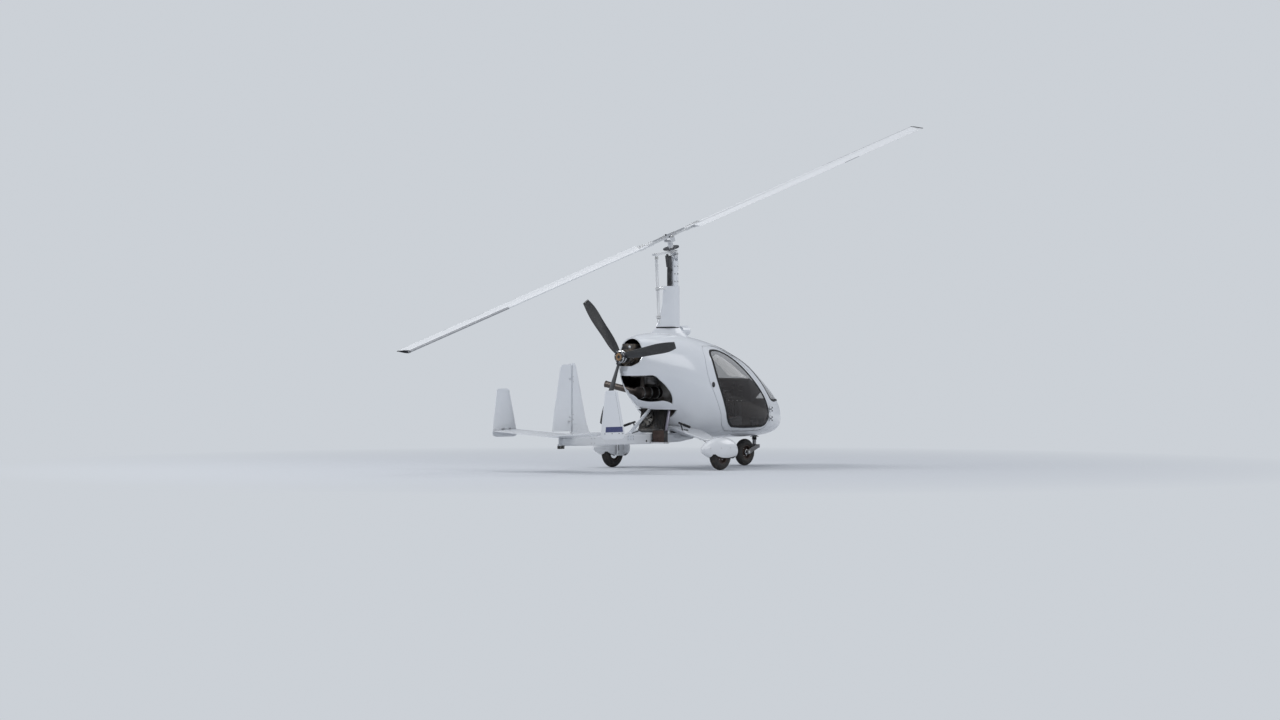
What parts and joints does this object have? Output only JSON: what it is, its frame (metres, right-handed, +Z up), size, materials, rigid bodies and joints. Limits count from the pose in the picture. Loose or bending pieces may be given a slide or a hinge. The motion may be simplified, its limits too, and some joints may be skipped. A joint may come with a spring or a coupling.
{
  "type": "two-seat enclosed gyrocopter",
  "caption": "Enclosed two-seat gyrocopter on tricycle gear with a tilted teetering rotor, pusher propeller, opening doors and a three-fin tail on a low boom.",
  "frame": {"origin": "on the ground, under the middle of the rotor", "axes": "+X forward, towards the nose; +Y to the aircraft's left; +Z up"},
  "size_m": [8.1407, 1.85, 4.0691],
  "materials": {
    "white_gloss": "gloss white composite",
    "black_plastic": "matt black",
    "smoke_glass": "smoke tint",
    "blade_white": "white paint",
    "mast_paint": "white paint",
    "steel": "brushed",
    "alloy": "machined",
    "engine_dark": "dark coated",
    "exhaust_steel": "heat stained",
    "cabin_trim": "dark trim",
    "seat_leather": "dark leather",
    "tyre_rubber": "worn rubber",
    "carbon_black": "satin carbon"
  },
  "bodies": {
    "airframe": {"pod_shell": "white_gloss", "cabin_floor": "cabin_trim", "firewall": "black_plastic", "windshield": "smoke_glass", "mast": "mast_paint", "mast_fairing": "white_gloss", "mast_base": "white_gloss", "air_scoop": "white_gloss", "control_rods": "blade_white", "prerotator": "black_plastic", "engine": "engine_dark", "gearbox": "engine_dark", "exhaust": "exhaust_steel", "engine_mount": "steel", "radiator": "engine_dark", "oil_cooler": "engine_dark", "seat_left": "seat_leather", "seat_right": "seat_leather", "instrument_panel": "black_plastic", "controls": "black_plastic", "gear_bow": "white_gloss", "spat_left": "white_gloss", "spat_right": "white_gloss", "tail_boom": "white_gloss", "stabilizer": "white_gloss", "fin_left": "white_gloss", "fin_right": "white_gloss", "fin_center": "white_gloss", "boom_brace": "white_gloss", "footsteps": "black_plastic", "nose_leg": "steel"},
    "left_door": {"door_left": "white_gloss", "door_glass_left": "smoke_glass", "door_handle_left": "black_plastic"},
    "right_door": {"door_right": "white_gloss", "door_glass_right": "smoke_glass", "door_handle_right": "black_plastic"},
    "nose_gear": {"nose_fork": "steel"},
    "nose_wheel": {"nose_tyre": "tyre_rubber", "nose_rim": "alloy"},
    "left_wheel": {"tyre_left": "tyre_rubber", "rim_left": "alloy"},
    "right_wheel": {"tyre_right": "tyre_rubber", "rim_right": "alloy"},
    "propeller": {"propeller_hub": "alloy", "propeller_blades": "carbon_black"},
    "rudder_surface": {"rudder": "white_gloss"},
    "head_gimbal": {"gimbal": "alloy"},
    "head": {"rotor_head": "alloy"},
    "hub": {"rotor_hub": "steel"},
    "rotor": {"hub_bar": "alloy", "blade_front": "blade_white", "blade_rear": "blade_white"}
  },
  "joints": [
    {"name": "left_door_swing", "type": "hinge", "parent": "airframe", "child": "left_door", "pos_m": [1.224, 0.574, 0.636], "axis": [0, 0, -1], "range_deg": [0, 75]},
    {"name": "right_door_swing", "type": "hinge", "parent": "airframe", "child": "right_door", "pos_m": [1.224, -0.574, 0.636], "axis": [0, 0, 1], "range_deg": [0, 75]},
    {"name": "nose_steer", "type": "hinge", "parent": "airframe", "child": "nose_gear", "pos_m": [1.6, 0, 0.3], "axis": [0, 0, 1], "range_deg": [-28, 28]},
    {"name": "nose_wheel_spin", "type": "hinge", "parent": "nose_gear", "child": "nose_wheel", "pos_m": [1.415, 0, 0.16], "axis": [0, 1, 0], "continuous": true},
    {"name": "left_wheel_spin", "type": "hinge", "parent": "airframe", "child": "left_wheel", "pos_m": [-0.051, 0.825, 0.17], "axis": [0, 1, 0], "continuous": true},
    {"name": "right_wheel_spin", "type": "hinge", "parent": "airframe", "child": "right_wheel", "pos_m": [-0.051, -0.825, 0.17], "axis": [0, 1, 0], "continuous": true},
    {"name": "propeller_spin", "type": "hinge", "parent": "airframe", "child": "propeller", "pos_m": [-0.876, 0, 1.324], "axis": [1, 0, 0], "continuous": true},
    {"name": "rudder_turn", "type": "hinge", "parent": "airframe", "child": "rudder_surface", "pos_m": [-1.797, 0, 0.86], "axis": [0, 0, 1], "range_deg": [-25, 25]},
    {"name": "head_roll", "type": "hinge", "parent": "airframe", "child": "head_gimbal", "pos_m": [0.1, 0, 2.49], "axis": [1, 0, 0], "range_deg": [-9, 9]},
    {"name": "head_pitch", "type": "hinge", "parent": "head_gimbal", "child": "head", "pos_m": [0.1, 0, 2.525], "axis": [0, 1, 0], "range_deg": [0, 18]},
    {"name": "rotor_spin", "type": "hinge", "parent": "head", "child": "hub", "pos_m": [0, 0, 2.735], "axis": [-0.309, 0, 0.9511], "continuous": true},
    {"name": "rotor_teeter", "type": "hinge", "parent": "hub", "child": "rotor", "pos_m": [0, 0, 2.735], "axis": [0.1093, 0.9934, 0.0355], "range_deg": [-7, 7]}
  ]
}
